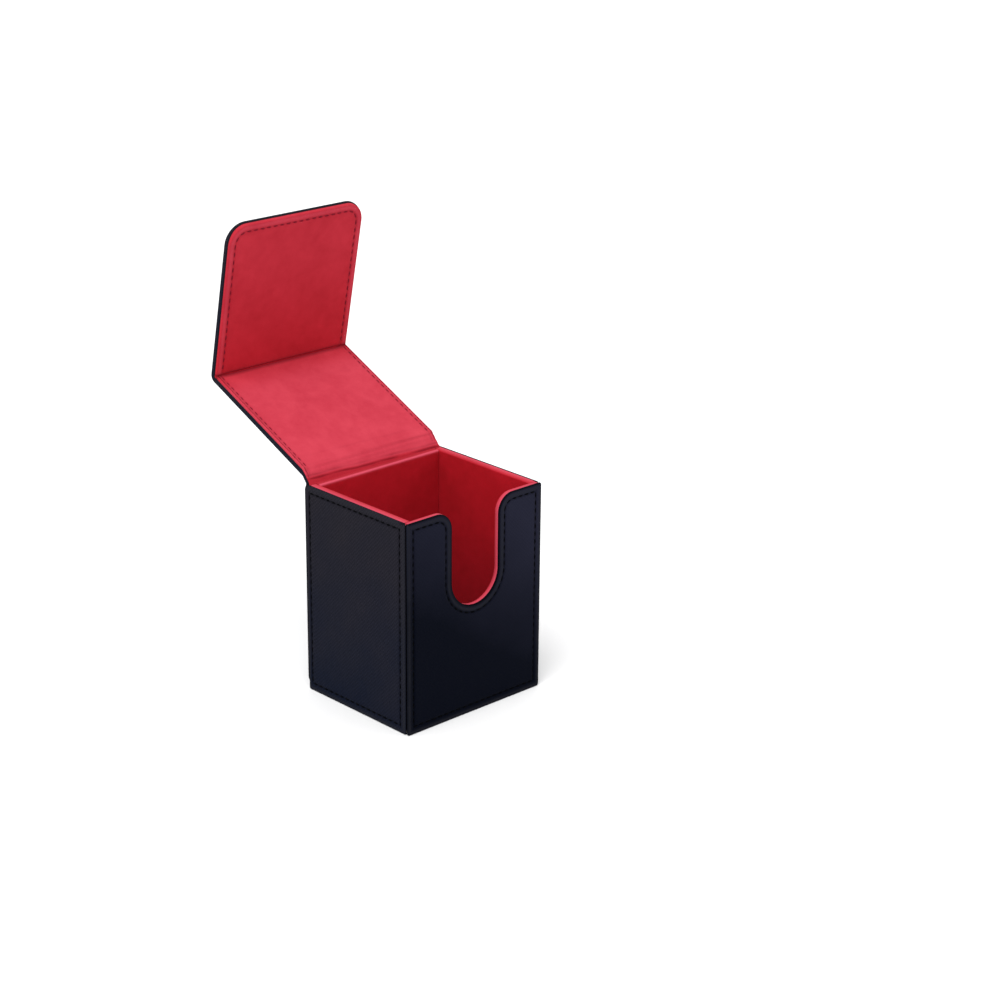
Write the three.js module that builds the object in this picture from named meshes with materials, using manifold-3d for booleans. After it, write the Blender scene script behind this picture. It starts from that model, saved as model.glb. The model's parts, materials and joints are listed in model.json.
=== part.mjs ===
// Card deck box: a board box covered in leather and lined with suede, with a one-piece lid and
// front flap that hang from the back cover by two crease lines and fold at a third.
// Millimetres, +Z up, front wall towards -Y, origin at the centre of the base's underside.
// It stands open, the lid leaning back and the flap standing up from it.

import * as THREE from 'three';
import { mergeVertices } from 'three/addons/utils/BufferGeometryUtils.js';
import Module from 'manifold-3d';

// Outside and inside of the box.
const OUTER_WIDTH = 80;
const OUTER_DEPTH = 69;
const BODY_HEIGHT = 99.3;
const CARD_WIDTH = 71;
const CARD_DEPTH = 60;
const CARD_HEIGHT = 95;

// Layers: leather outside, grey board, suede inside, and the glue line between them.
const LEATHER = 0.8;
const SUEDE = 0.7;
const GLUE = 0.05;
const EDGE_ROUND = 0.35;

// Front wall and its thumb notch.
const FRONT_THICKNESS = 3.2;
const NOTCH_HALF = 14;
const NOTCH_DEPTH = 47.5;
const SHOULDER_RADIUS = 8.5;

// Back cover, a separate covered panel on the back wall.
const COVER_THICKNESS = 3.0;
const COVER_CORNER = 5;
const COVER_LIFT = 1.2;

// Lid, flap and the strip that carries them.
const LID_WIDTH = 78.4;
const LID_THICKNESS = 3.4;
const LID_REACH = 69.4;
const FLAP_REACH = 74.1;
const FLAP_CORNER = 10;
const CLOSED_GAP = 0.3;
const STRIP_REACH = LID_THICKNESS + CLOSED_GAP;
const STRIP_LAYER = 0.65;
const CREASE_GAP = 0.3;

// How far each folds back, in degrees from the +Y direction, as the box stands open.
const STRIP_ANGLE = 52;
const LID_ANGLE = 24.5;
const FLAP_ANGLE = 101.5;

// Closure: magnets in the flap, steel discs in the front wall.
const DISC_RADIUS = 5;
const DISC_THICKNESS = 1.0;
const DISC_CLEARANCE = 0.3;
const DISC_SIDE = 20;
const DISC_HEIGHT = 38;

const CURVE_STEPS = 10;

// Derived planes.
const HALF_WIDTH = OUTER_WIDTH / 2;
const FRONT = -OUTER_DEPTH / 2;
const REAR = OUTER_DEPTH / 2;
const FLOOR_THICKNESS = BODY_HEIGHT - CARD_HEIGHT;
const FRONT_INSIDE = FRONT + FRONT_THICKNESS;
const BACK_INSIDE = FRONT_INSIDE + CARD_DEPTH;
const COVER_FRONT = REAR - COVER_THICKNESS;
const CARD_HALF = CARD_WIDTH / 2;
const WALL_FRONT = FRONT_INSIDE + GLUE;
const WALL_REAR = COVER_FRONT - GLUE;
const BEYOND = 5;

const wasm = await Module();
wasm.setup();

// ---- solids ----------------------------------------------------------------------------------

function toManifold(geometry) {
  const bare = geometry.clone();
  bare.deleteAttribute('normal');
  bare.deleteAttribute('uv');
  const merged = mergeVertices(bare, 1e-4);
  return new wasm.Manifold(new wasm.Mesh({
    numProp: 3,
    vertProperties: new Float32Array(merged.attributes.position.array),
    triVerts: new Uint32Array(merged.index.array),
  }));
}

function toGeometry(manifold) {
  const mesh = manifold.getMesh();
  const geometry = new THREE.BufferGeometry();
  geometry.setAttribute('position',
    new THREE.BufferAttribute(new Float32Array(mesh.vertProperties), 3));
  geometry.setIndex(new THREE.BufferAttribute(new Uint32Array(mesh.triVerts), 1));
  geometry.computeVertexNormals();
  return geometry;
}

function cut(geometry, ...tools) {
  let solid = toManifold(geometry);
  for (const tool of tools) solid = solid.subtract(toManifold(tool));
  return toGeometry(solid);
}

function block(x0, x1, y0, y1, z0, z1) {
  const geometry = new THREE.BoxGeometry(x1 - x0, y1 - y0, z1 - z0);
  geometry.translate((x0 + x1) / 2, (y0 + y1) / 2, (z0 + z1) / 2);
  return geometry;
}

// An outline given a thickness from near to far, its edges eased by `round`.
function plate(outline, near, far, round = 0) {
  const geometry = new THREE.ExtrudeGeometry(outline, {
    depth: far - near - 2 * round,
    curveSegments: CURVE_STEPS,
    bevelEnabled: round > 0,
    bevelThickness: round,
    bevelSize: round,
    bevelOffset: -round,
    bevelSegments: 2,
  });
  geometry.translate(0, 0, near + round);
  return geometry;
}

// Stands a plate up: outline in X and Z, thickness along Y.
function acrossDepth(outline, near, far, round) {
  const geometry = plate(outline, -far, -near, round);
  geometry.rotateX(Math.PI / 2);
  return geometry;
}

// Stands a plate up: outline in Y and Z, thickness along X.
function acrossWidth(outline, near, far, round) {
  const geometry = plate(outline, near, far, round);
  geometry.applyMatrix4(new THREE.Matrix4().makeBasis(
    new THREE.Vector3(0, 1, 0), new THREE.Vector3(0, 0, 1), new THREE.Vector3(1, 0, 0)));
  return geometry;
}

function disc(radius, near, far) {
  const geometry = new THREE.CylinderGeometry(radius, radius, far - near, 32);
  geometry.translate(0, (near + far) / 2, 0);
  return geometry;
}

// ---- outlines --------------------------------------------------------------------------------

function rectangle(x0, x1, y0, y1) {
  const shape = new THREE.Shape();
  shape.moveTo(x0, y0);
  shape.lineTo(x1, y0);
  shape.lineTo(x1, y1);
  shape.lineTo(x0, y1);
  shape.closePath();
  return shape;
}

// The front wall: `edge` is how far its rim and the notch stand back from the finished edge.
function frontOutline(half, bottom, edge) {
  const top = BODY_HEIGHT - edge;
  const notch = NOTCH_HALF + edge;
  const round = SHOULDER_RADIUS - edge;
  const bowl = BODY_HEIGHT - NOTCH_DEPTH + NOTCH_HALF;
  const shape = new THREE.Shape();
  shape.moveTo(-half, bottom);
  shape.lineTo(half, bottom);
  shape.lineTo(half, top);
  shape.lineTo(notch + round, top);
  shape.absarc(notch + round, top - round, round, Math.PI / 2, Math.PI, false);
  shape.lineTo(notch, bowl);
  shape.absarc(0, bowl, notch, 0, -Math.PI, true);
  shape.lineTo(-notch, top - round);
  shape.absarc(-notch - round, top - round, round, 0, Math.PI / 2, false);
  shape.lineTo(-half, top);
  shape.closePath();
  return shape;
}

// A panel with two rounded corners at its far end (`end`), square at `start`.
function tongue(half, start, end, radius) {
  const way = Math.sign(end - start);
  const shape = new THREE.Shape();
  shape.moveTo(-half, start);
  if (way > 0) {
    shape.lineTo(half, start);
    shape.absarc(half - radius, end - radius, radius, 0, Math.PI / 2, false);
    shape.absarc(-half + radius, end - radius, radius, Math.PI / 2, Math.PI, false);
  } else {
    shape.lineTo(-half, end + radius);
    shape.absarc(-half + radius, end + radius, radius, Math.PI, 1.5 * Math.PI, false);
    shape.absarc(half - radius, end + radius, radius, 1.5 * Math.PI, 2 * Math.PI, false);
    shape.lineTo(half, start);
  }
  shape.closePath();
  return shape;
}

// ---- materials and naming --------------------------------------------------------------------

const FINISH = {
  leather: { color: 0x16181f, roughness: 0.55, metalness: 0 },
  suede: { color: 0xb3152f, roughness: 0.95, metalness: 0 },
  board: { color: 0x8d877c, roughness: 0.9, metalness: 0 },
  magnet: { color: 0xb4b7bb, roughness: 0.35, metalness: 1 },
  steel: { color: 0x9a9da1, roughness: 0.4, metalness: 1 },
};

function piece(parent, name, finish, geometry) {
  const mesh = new THREE.Mesh(geometry, new THREE.MeshStandardMaterial(FINISH[finish]));
  mesh.name = name;
  parent.add(mesh);
  return mesh;
}

// ---- box body --------------------------------------------------------------------------------

// A side wall, seen from outside in: leather tray turned over both ends and the foot, board, and a
// suede skin that folds over the rim. `side` is -1 for left, +1 for right.
function sideWall(body, name, side) {
  const skin = HALF_WIDTH - LEATHER;
  const lining = CARD_HALF + SUEDE;
  const leather = acrossWidth(rectangle(WALL_FRONT, WALL_REAR, 0, BODY_HEIGHT),
    CARD_HALF, HALF_WIDTH, EDGE_ROUND);
  const hollow = block(CARD_HALF - BEYOND, skin, WALL_FRONT + LEATHER, WALL_REAR - LEATHER,
    LEATHER, BODY_HEIGHT + BEYOND);
  const near = WALL_FRONT + LEATHER + GLUE;
  const far = WALL_REAR - LEATHER - GLUE;
  const foot = LEATHER + GLUE;
  const suede = block(CARD_HALF, skin - GLUE, near, far, foot, BODY_HEIGHT);
  const core = block(lining, skin + BEYOND, near - BEYOND, far + BEYOND,
    foot - BEYOND, BODY_HEIGHT - SUEDE);
  const board = block(lining + GLUE, skin - GLUE, near, far, foot, BODY_HEIGHT - SUEDE - GLUE);
  const turned = side < 0 ? Math.PI : 0;
  const wall = new THREE.Group();
  wall.rotation.z = turned;
  wall.position.y = turned ? WALL_FRONT + WALL_REAR : 0;
  body.add(wall);
  piece(wall, `${name}_wall_leather`, 'leather', cut(leather, hollow));
  piece(wall, `${name}_wall_board`, 'board', board);
  piece(wall, `${name}_wall_lining`, 'suede', cut(suede, core));
}

function frontWall(body) {
  const boardFront = FRONT + LEATHER + GLUE;
  const boardBack = FRONT_INSIDE - SUEDE - GLUE;
  const inner = HALF_WIDTH - LEATHER - GLUE;
  const foot = LEATHER + GLUE;
  const leather = acrossDepth(frontOutline(HALF_WIDTH, 0, 0), FRONT, FRONT_INSIDE, EDGE_ROUND);
  const hollow = block(-inner - GLUE, inner + GLUE, FRONT + LEATHER, FRONT_INSIDE + BEYOND,
    LEATHER, BODY_HEIGHT + BEYOND);
  piece(body, 'front_wall_leather', 'leather', cut(leather, hollow));

  const suede = acrossDepth(frontOutline(inner, foot, 0), boardFront, FRONT_INSIDE, 0);
  const core = acrossDepth(frontOutline(inner + BEYOND, foot - BEYOND, SUEDE),
    boardFront - BEYOND, FRONT_INSIDE - SUEDE, 0);
  piece(body, 'front_wall_lining', 'suede', cut(suede, core));

  const pockets = [-DISC_SIDE, DISC_SIDE].map((x) => {
    const pocket = disc(DISC_RADIUS + DISC_CLEARANCE, boardFront - BEYOND,
      boardFront + DISC_THICKNESS + DISC_CLEARANCE);
    pocket.translate(x, 0, DISC_HEIGHT);
    return pocket;
  });
  const board = acrossDepth(frontOutline(inner, foot, SUEDE + GLUE), boardFront, boardBack, 0);
  piece(body, 'front_wall_board', 'board', cut(board, ...pockets));

  ['left', 'right'].forEach((name, index) => {
    const plug = disc(DISC_RADIUS, boardFront + GLUE, boardFront + GLUE + DISC_THICKNESS);
    plug.translate(index ? DISC_SIDE : -DISC_SIDE, 0, DISC_HEIGHT);
    piece(body, `${name}_keeper_disc`, 'steel', plug);
  });
}

// The back wall stands between the side walls; its suede runs over the rim to the back cover.
function backWall(body) {
  const half = CARD_HALF - GLUE;
  const foot = FLOOR_THICKNESS + GLUE;
  const boardTop = BODY_HEIGHT - SUEDE - GLUE;
  const boardFront = BACK_INSIDE + SUEDE + GLUE;
  piece(body, 'back_wall_board', 'board', block(-half, half, boardFront, WALL_REAR, foot, boardTop));
  const suede = block(-half, half, BACK_INSIDE, REAR - LEATHER - GLUE, foot, BODY_HEIGHT);
  const core = block(-half - BEYOND, half + BEYOND, boardFront - GLUE, REAR + BEYOND,
    foot - BEYOND, BODY_HEIGHT - SUEDE);
  piece(body, 'back_wall_lining', 'suede', cut(suede, core));
}

function backCover(body) {
  const half = HALF_WIDTH;
  const inset = LEATHER + GLUE;
  const top = BODY_HEIGHT - SUEDE - GLUE;
  const leather = acrossDepth(tongue(half, BODY_HEIGHT, COVER_LIFT, COVER_CORNER),
    COVER_FRONT, REAR, EDGE_ROUND);
  const hollow = acrossDepth(tongue(half - LEATHER, BODY_HEIGHT + BEYOND, COVER_LIFT + LEATHER,
    COVER_CORNER - LEATHER), COVER_FRONT - BEYOND, REAR - LEATHER, 0);
  piece(body, 'back_cover_leather', 'leather', cut(leather, hollow));
  piece(body, 'back_cover_board', 'board', acrossDepth(tongue(half - inset, top, COVER_LIFT + inset,
    COVER_CORNER - inset), COVER_FRONT, REAR - inset, 0));
}

function base(body) {
  const half = CARD_HALF - GLUE;
  const lining = FLOOR_THICKNESS - SUEDE;
  piece(body, 'base_leather', 'leather', block(-half, half, WALL_FRONT, WALL_REAR, 0, LEATHER));
  piece(body, 'base_board', 'board',
    block(-half, half, WALL_FRONT, WALL_REAR, LEATHER + GLUE, lining - GLUE));
  piece(body, 'base_lining', 'suede',
    block(-half, half, WALL_FRONT, WALL_REAR, lining, FLOOR_THICKNESS));
}

// ---- lid -------------------------------------------------------------------------------------

// Local frames of the strip and the lid: Y away from the crease they hang on, Z towards the suede
// side, Z = 0 on the leather's outer face.
function hingeStrip(strip) {
  const half = LID_WIDTH / 2;
  const end = STRIP_REACH - LEATHER - CREASE_GAP;
  piece(strip, 'hinge_strip_leather', 'leather', block(-half, half, CREASE_GAP, end, 0, STRIP_LAYER));
  piece(strip, 'hinge_strip_lining', 'suede',
    block(-half, half, CREASE_GAP, end, STRIP_LAYER + GLUE, 2 * STRIP_LAYER + GLUE));
}

function lid(panel) {
  const half = LID_WIDTH / 2;
  const start = 2 * STRIP_LAYER + 2 * GLUE + CREASE_GAP;
  const end = LID_REACH - CREASE_GAP;
  const under = LEATHER + GLUE;
  const over = LID_THICKNESS - SUEDE;
  piece(panel, 'lid_leather', 'leather',
    plate(rectangle(-half, half, CREASE_GAP, end), 0, LEATHER, EDGE_ROUND / 2));
  piece(panel, 'lid_board', 'board',
    block(-half + SUEDE + GLUE, half - SUEDE - GLUE, start, end, under, over - GLUE));
  const suede = plate(rectangle(-half, half, start, end), under, LID_THICKNESS, EDGE_ROUND);
  const core = block(-half + SUEDE, half - SUEDE, start - BEYOND, end + BEYOND, under - BEYOND, over);
  piece(panel, 'lid_lining', 'suede', cut(suede, core));
}

// The leather that rounds the corner between lid and flap, a bow about the crease line.
function creaseBow(panel) {
  const radius = LID_THICKNESS;
  const inner = radius - LEATHER;
  const slack = 1.5 * CREASE_GAP / inner;
  const from = -Math.PI / 2 + slack;
  const to = -Math.PI / 2 + THREE.MathUtils.degToRad(FLAP_ANGLE - LID_ANGLE) - slack;
  const shape = new THREE.Shape();
  shape.absarc(0, 0, radius, from, to, false);
  shape.absarc(0, 0, inner, to, from, true);
  shape.closePath();
  const half = LID_WIDTH / 2;
  const bow = acrossWidth(shape, -half, half, 0);
  bow.translate(0, LID_REACH, LID_THICKNESS);
  piece(panel, 'flap_crease_leather', 'leather', bow);
}

// Local frame of the flap: Y away from the crease line, Z = 0 on the suede face, leather below.
function flap(panel) {
  const half = LID_WIDTH / 2;
  const start = CREASE_GAP;
  const inset = SUEDE + GLUE;
  const skin = -LID_THICKNESS + LEATHER;
  piece(panel, 'flap_leather', 'leather',
    plate(tongue(half, start, FLAP_REACH, FLAP_CORNER), -LID_THICKNESS, skin, EDGE_ROUND / 2));

  const suede = plate(tongue(half, start, FLAP_REACH, FLAP_CORNER), skin + GLUE, 0, EDGE_ROUND);
  const core = plate(tongue(half - SUEDE, start - BEYOND, FLAP_REACH - SUEDE, FLAP_CORNER - SUEDE),
    skin - BEYOND, -SUEDE, 0);
  piece(panel, 'flap_lining', 'suede', cut(suede, core));

  const magnetReach = BODY_HEIGHT + CLOSED_GAP - DISC_HEIGHT;
  const pocketFloor = -inset - DISC_THICKNESS - DISC_CLEARANCE;
  const pockets = [-DISC_SIDE, DISC_SIDE].map((x) => {
    const pocket = disc(DISC_RADIUS + DISC_CLEARANCE, pocketFloor, BEYOND);
    pocket.rotateX(Math.PI / 2);
    pocket.translate(x, magnetReach, 0);
    return pocket;
  });
  const board = plate(tongue(half - inset, start, FLAP_REACH - inset, FLAP_CORNER - inset),
    skin + GLUE, -inset, 0);
  piece(panel, 'flap_board', 'board', cut(board, ...pockets));

  ['left', 'right'].forEach((name, index) => {
    const magnet = disc(DISC_RADIUS, -inset - GLUE - DISC_THICKNESS, -inset - GLUE);
    magnet.rotateX(Math.PI / 2);
    magnet.translate(index ? DISC_SIDE : -DISC_SIDE, magnetReach, 0);
    piece(panel, `${name}_flap_magnet`, 'magnet', magnet);
  });
}

// ---- assembly --------------------------------------------------------------------------------

function hinged(parent, y, z, angle, parentAngle) {
  const group = new THREE.Group();
  group.position.set(0, y, z);
  group.rotation.x = THREE.MathUtils.degToRad(angle - parentAngle);
  parent.add(group);
  return group;
}

const deckBox = new THREE.Group();
deckBox.name = 'deck_box';

const body = new THREE.Group();
deckBox.add(body);
sideWall(body, 'left', -1);
sideWall(body, 'right', 1);
frontWall(body);
backWall(body);
backCover(body);
base(body);

const stripGroup = hinged(deckBox, REAR, BODY_HEIGHT, STRIP_ANGLE, 0);
hingeStrip(stripGroup);
const lidGroup = hinged(stripGroup, STRIP_REACH, 0, LID_ANGLE, STRIP_ANGLE);
lid(lidGroup);
creaseBow(lidGroup);
const flapGroup = hinged(lidGroup, LID_REACH, LID_THICKNESS, FLAP_ANGLE, LID_ANGLE);
flap(flapGroup);

export default deckBox;
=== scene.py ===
import json
import math

import bmesh
import bpy
from mathutils import Matrix, Vector, noise


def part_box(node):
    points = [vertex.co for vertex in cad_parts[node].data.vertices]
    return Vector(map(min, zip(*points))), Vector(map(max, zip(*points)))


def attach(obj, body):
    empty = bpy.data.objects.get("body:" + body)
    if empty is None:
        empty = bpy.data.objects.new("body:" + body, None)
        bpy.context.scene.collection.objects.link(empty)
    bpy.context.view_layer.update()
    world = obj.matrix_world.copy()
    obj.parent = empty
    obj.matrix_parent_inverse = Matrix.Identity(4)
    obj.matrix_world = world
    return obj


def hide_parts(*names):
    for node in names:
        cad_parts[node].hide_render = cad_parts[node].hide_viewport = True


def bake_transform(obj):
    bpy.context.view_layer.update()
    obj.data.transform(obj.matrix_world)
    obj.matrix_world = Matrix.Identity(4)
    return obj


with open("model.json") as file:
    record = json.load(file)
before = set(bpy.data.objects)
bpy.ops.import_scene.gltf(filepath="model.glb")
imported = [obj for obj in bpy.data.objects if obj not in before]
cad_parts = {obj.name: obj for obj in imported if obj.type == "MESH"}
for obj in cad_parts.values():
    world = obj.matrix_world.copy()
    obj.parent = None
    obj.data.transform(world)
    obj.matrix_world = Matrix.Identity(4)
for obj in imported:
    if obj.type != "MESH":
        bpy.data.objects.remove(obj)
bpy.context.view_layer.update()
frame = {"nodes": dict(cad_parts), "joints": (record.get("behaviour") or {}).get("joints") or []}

# Lengths are in millimetres until a mesh is made. A panel's points are given by x across it, s along
# it and n out of its face, which build() keeps in "cover" for the materials.
MM = 0.001

# ---- places taken from the frame ---------------------------------------------------------------


def corners(node):
    lo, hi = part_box(node)
    return lo / MM, hi / MM


def crease(name):
    joint = next(j for j in frame["joints"] if j["name"] == name)
    return Vector((joint["pos_m"][1], joint["pos_m"][2])) / MM


front_lo, front_hi = corners("front_wall_leather")
cover_lo, cover_hi = corners("back_cover_leather")
HALF, FRONT, FRONT_INSIDE, RIM = front_hi.x, front_lo.y, front_hi.y, front_hi.z
COVER_FRONT, REAR, COVER_FOOT = cover_lo.y, cover_hi.y, cover_lo.z
WELL_HALF = corners("right_wall_leather")[0].x
WELL_REAR = corners("back_wall_lining")[0].y
WELL_FLOOR = corners("base_lining")[1].z
LID_HALF = corners("lid_leather")[1].x
REAR_CREASE, LID_CREASE, FLAP_CREASE = (
    crease("rear_crease"),
    crease("lid_crease"),
    crease("flap_crease"),
)

# ---- driving sizes -----------------------------------------------------------------------------

SKIN = 0.8  # leather
SUEDE = 0.7
STRIP = 0.65  # the hinge strip's suede
STRIP_SIDE = 1.5  # the depth of its leather, seen from the side
STRIP_FACE = 2.25  # and of the two together
LID_THICKNESS = 3.4  # the flap's too
LID_SIDE = 2.2  # how much of it is leather, seen from the side
BOARD_START = 2.5  # from the lid crease to the lid's board, which clears the strip's suede
SUEDE_INSET = 0.5  # from the leather's edge to the suede's
FLAP_REACH = 74.1
FLAP_TIP_THINNER = 0.7  # how much less of its leather shows at its end
FLAP_CORNER = 10.0
COVER_CORNER = 5.0
NOTCH_HALF = 14.0  # half the width of the thumb notch
NOTCH_DEPTH = 47.5
SHOULDER = 8.5  # radius of the notch's upper corners
RIM_LIP = 0.85  # how much of the leather's own edge shows along the rim
EDGE = 0.5  # radius of a rounded leather edge
JOINT = 1.8  # from a panel's face back to the panel round the corner
SEAM = 3.5  # stitch line, in from the edge
SUEDE_SEAM = 2.4  # the same in from the edge of the lid's suede
FLAP_SEAM = 3.5  # and of the flap's
SEAM_SHIFT = 1.2  # how much closer it is to a side panel's rear edge
GROOVE = 0.42  # the depth of a sewn groove in leather
SOFT_GROOVE = 0.26  # the same in suede
GROOVE_HALF = 0.85  # half its width
PITCH = 3.7  # from one stitch to the next
STITCH = 2.7  # the length of one
THREAD = 0.30  # the radius of the thread in leather
FINE_THREAD = 0.20  # in the lid's suede
FLAP_THREAD = 0.27  # in the flap's suede
GAP = 0.05  # between pieces that meet
WALL = 0.84  # from a lapped leather edge in to the wall behind it

BEAD, BEAD_WIDTH = 0.9, 0.85  # where leather is rubbed and a painted highlight catches it, in from an edge
RIM_BEAD, RIM_BEAD_WIDTH = 2.0, 0.75  # and in from a rim, a painted highlight on the bead just above the seam
JOINT_SHADE_DEPTH, JOINT_SHADE_FADE = 0.42, 0.25  # below the face, where painted shade darkens the gap of a joint, and over what depth it fades in
SEWN_SHADE, SEWN_WIDTH = 0.35, 0.75  # painted shade along a stitch line, and its width

HATCH_PITCH = 1.25  # of the leather's cross-hatched grain

# The folds across the hinge's suede: how far on from the deepest, half their width, how dark their
# painted shade is.
FOLDS = ((0.0, 0.6, 1.7), (1.7, 0.5, 0.8), (5.6, 0.5, 0.25), (11.0, 0.6, 0.15))
DARKEST_FOLD = 1.25

STRIP_RUN = (LID_CREASE - REAR_CREASE).length
STRIP_ANGLE = math.atan2(*reversed(LID_CREASE - REAR_CREASE))
LID_SPAN = FLAP_CREASE - LID_CREASE
LID_REACH = math.sqrt(LID_SPAN.length_squared - LID_THICKNESS**2)
LID_ANGLE = math.atan2(LID_SPAN.y, LID_SPAN.x) - math.atan2(LID_THICKNESS, LID_REACH)
FLAP_ANGLE = math.radians(101.5)


def heading(angle):
    return Vector((math.cos(angle), math.sin(angle)))


def suede_side(angle):
    return heading(angle + math.pi / 2)


STRIP_MIDDLE = REAR_CREASE + heading(STRIP_ANGLE) * STRIP_RUN / 2

# ---- lines and places --------------------------------------------------------------------------


class Run:
    """A line in a plane through corner points, each corner eased by its radius."""

    def __init__(self, points, radii):
        points = [Vector(p) for p in points]
        self.parts = []
        here, start = points[0], 0.0
        for k in range(1, len(points)):
            way = (points[k] - points[k - 1]).normalized()
            end = points[k]
            if k < len(points) - 1:
                onward = (points[k + 1] - points[k]).normalized()
                turn = math.atan2(way.x * onward.y - way.y * onward.x, way.dot(onward))
                radius = radii[k - 1]
                trim = radius * math.tan(abs(turn) / 2)
                end = points[k] - way * trim
            length = (end - here).length
            angle = math.atan2(way.y, way.x)
            self.parts.append((start, length, here, angle, 0.0))
            start += length
            if k < len(points) - 1:
                arc = radius * abs(turn)
                self.parts.append((start, arc, end, angle, turn / arc))
                start += arc
                here = points[k] + onward * trim
        self.length = start

    def at(self, s):
        for begin, length, point, angle, bend in self.parts:
            if s <= begin + length or begin + length >= self.length:
                break
        d = s - begin
        if not bend:
            return point + heading(angle) * d, angle
        radius = 1 / bend
        centre = point + suede_side(angle) * radius
        return centre - suede_side(angle + d * bend) * radius, angle + d * bend

    def marks(self, step, arc_step=math.radians(9)):
        found = [0.0]
        for begin, length, _, _, bend in self.parts:
            if length < 1e-6:
                continue
            pieces = math.ceil(length * abs(bend) / arc_step) if bend else math.ceil(length / step)
            found += [begin + length * (k + 1) / pieces for k in range(pieces)]
        return found


def flat(origin, across, along, out):
    """A place on a flat panel: x across, s along, n out of its face."""
    o, a, b, c = (Vector(v) for v in (origin, across, along, out))
    return lambda x, s, n: o + a * x + b * s + c * n


def over(run, side, plane="yz", offset=0.0, flip=1):
    """A place on a panel that bends along a run. side is 1 where its face is left of the run."""

    def place(x, s, n):
        point, angle = run.at(s)
        p = point + suede_side(angle) * side * n
        if plane == "yz":
            return Vector((x, p.x, p.y))
        return Vector((flip * p.x, offset + x, p.y))

    return place


# ---- outlines: the right-hand half of a panel's edge, from its start to its end ---------------


def corner_arc(x, s, radius, inset, first, last, steps=7):
    """Points round a corner whose own tip is (x, s); first and last are the arc's angles."""
    size = max(radius, inset + 0.03)
    r = size - inset
    cx, cs = x - size, s - math.copysign(size, math.sin(first + last))
    return [
        (cx + r * math.cos(a), cs + r * math.sin(a))
        for a in (first + (last - first) * k / steps for k in range(steps + 1))
    ]


def tongue(half, length, corner, marks):
    """Open at its start, with two rounded corners at its end. half may change along it."""
    width = half if callable(half) else lambda s: half

    def chain(inset, rim_inset):
        side = [(width(s) - inset, s, False) for s in marks]
        arc = corner_arc(width(length), length, corner, inset, 0, math.pi / 2, 12)
        return side + [(x, s, False) for x, s in arc]

    return chain


def strap(half, marks):
    """Open at both ends."""
    width = half if callable(half) else lambda s: half
    return lambda inset, rim_inset: [(width(s) - inset, s, False) for s in marks]


def oblong(half, start, end, corner, steps=10, rim=False):
    """Closed all round. With rim, its end is a rim."""

    def chain(inset, rim_inset):
        foot = corner_arc(half, start, corner, inset, -math.pi / 2, 0)
        top_inset = rim_inset if rim else inset
        head = corner_arc(half, end, corner, top_inset, 0, math.pi / 2)
        shift = top_inset - inset if rim else 0
        low, high = foot[-1], head[0]
        side = [(low[0], low[1] + (high[1] - low[1]) * k / steps) for k in range(1, steps)]
        points = [(x, s, False) for x, s in foot + side]
        for k, (x, s) in enumerate(head):
            is_rim = rim and k > len(head) // 2
            points.append((x if is_rim or not rim else x + shift, s, is_rim))
        return points

    return chain


def notched(half, foot, top, corner=1.0):
    """The front wall: closed, ending at the bottom of its thumb notch."""
    bowl = top - NOTCH_DEPTH + NOTCH_HALF

    def chain(inset, rim_inset):
        low = corner_arc(half, foot, corner, inset, -math.pi / 2, 0)
        high = corner_arc(half, top, corner, rim_inset, 0, math.pi / 2)
        rise = [(low[-1][0], low[-1][1] + (high[0][1] - low[-1][1]) * k / 10) for k in range(1, 10)]
        points = [(x, s, False) for x, s in low + rise]
        for k, (x, s) in enumerate(high):
            is_rim = k > len(high) // 2
            points.append((x if is_rim else x + rim_inset - inset, s, is_rim))
        edge, round_ = NOTCH_HALF + rim_inset, SHOULDER - rim_inset
        shoulder = edge + round_
        last = high[-1][0]
        rim = [(last + (shoulder - last) * k / 6, top - rim_inset) for k in range(1, 6)]
        for k in range(15):
            a = math.pi / 2 + math.pi / 2 * k / 14
            rim.append((shoulder + round_ * math.cos(a), top - SHOULDER + round_ * math.sin(a)))
        drop = top - SHOULDER - bowl
        rim += [(edge, bowl + drop * (1 - k / 8)) for k in range(1, 8)]
        for k in range(25):
            a = -math.pi / 2 * k / 24
            rim.append((edge * math.cos(a), bowl + edge * math.sin(a)))
        return points + [(x, s, True) for x, s in rim]

    return chain


# ---- levels: how a covered edge is shaped, ring by ring ---------------------------------------
# Each is (inset, inset on a rim, drop below the face for a wrap of depth d, drop on a rim).


def face_levels(edge, seam=SEAM, groove=GROOVE, sink=0.14):
    """From the turned edge over the bead and the stitch groove to the panel's field."""
    rows = []
    for k in range(7):
        a = math.pi / 2 * k / 6
        rows.append((edge * (1 - math.cos(a)), edge * (1 - math.sin(a))))
    if seam:
        rows += [(1.2, 0.0), (seam - GROOVE_HALF - 0.9, 0.0), (seam - GROOVE_HALF - 0.4, 0.0),
                 (seam - GROOVE_HALF, 0.03)]
        for k in range(1, 8):
            u = k / 4 - 1
            dip = (1 + math.cos(math.pi * u)) / 2
            rows.append((seam + GROOVE_HALF * u, 0.05 + (groove - 0.05) * dip))
        rows += [(seam + GROOVE_HALF + 0.25, 0.06), (seam + 2.4, 0.8 * sink), (seam + 4.5, sink)]
    else:
        rows += [(edge + 0.4, 0.0), (edge + 1.0, 0.0)]
    return rows


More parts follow.
